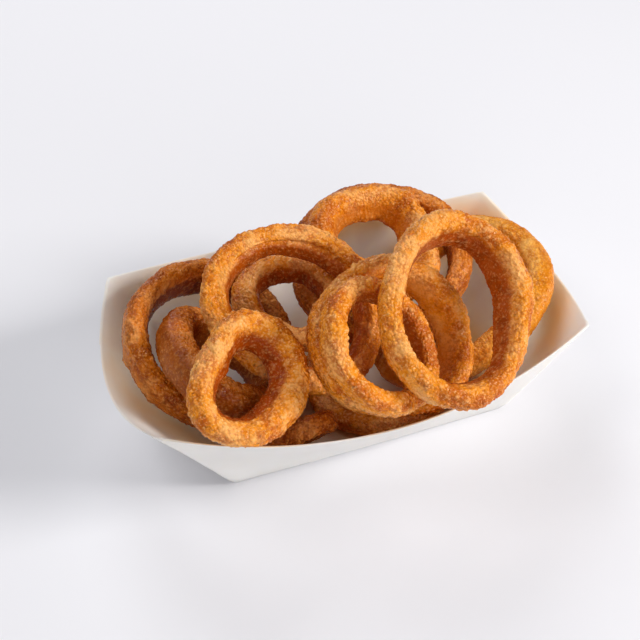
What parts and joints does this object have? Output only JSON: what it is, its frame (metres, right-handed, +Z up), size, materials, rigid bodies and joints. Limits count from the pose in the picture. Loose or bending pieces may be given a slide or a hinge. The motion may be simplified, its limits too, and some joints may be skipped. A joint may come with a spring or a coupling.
{
  "type": "onion rings side",
  "caption": "Battered, deep-fried onion rings piled in a folded white paperboard food tray with bowed walls and pointed corners.",
  "frame": {"origin": "on the table, under the middle of the tray", "axes": "+X along the tray's length, +Z up, the front long side faces -Y"},
  "size_m": [0.215, 0.1544, 0.1036],
  "materials": {
    "board": "matte",
    "crust_golden": "satin",
    "crust_deep": "satin",
    "crust_light": "satin"
  },
  "bodies": {
    "root": {"tray": "board", "ring_left_end": "crust_deep", "ring_left_smooth": "crust_golden", "ring_back_left": "crust_deep", "ring_nested": "crust_golden", "ring_front_left": "crust_golden", "ring_floor_left": "crust_deep", "ring_tall": "crust_golden", "ring_middle_front": "crust_golden", "ring_floor_middle": "crust_deep", "ring_front_right": "crust_golden", "ring_right_end": "crust_light", "ring_top": "crust_golden", "ring_back": "crust_deep"}
  },
  "joints": []
}
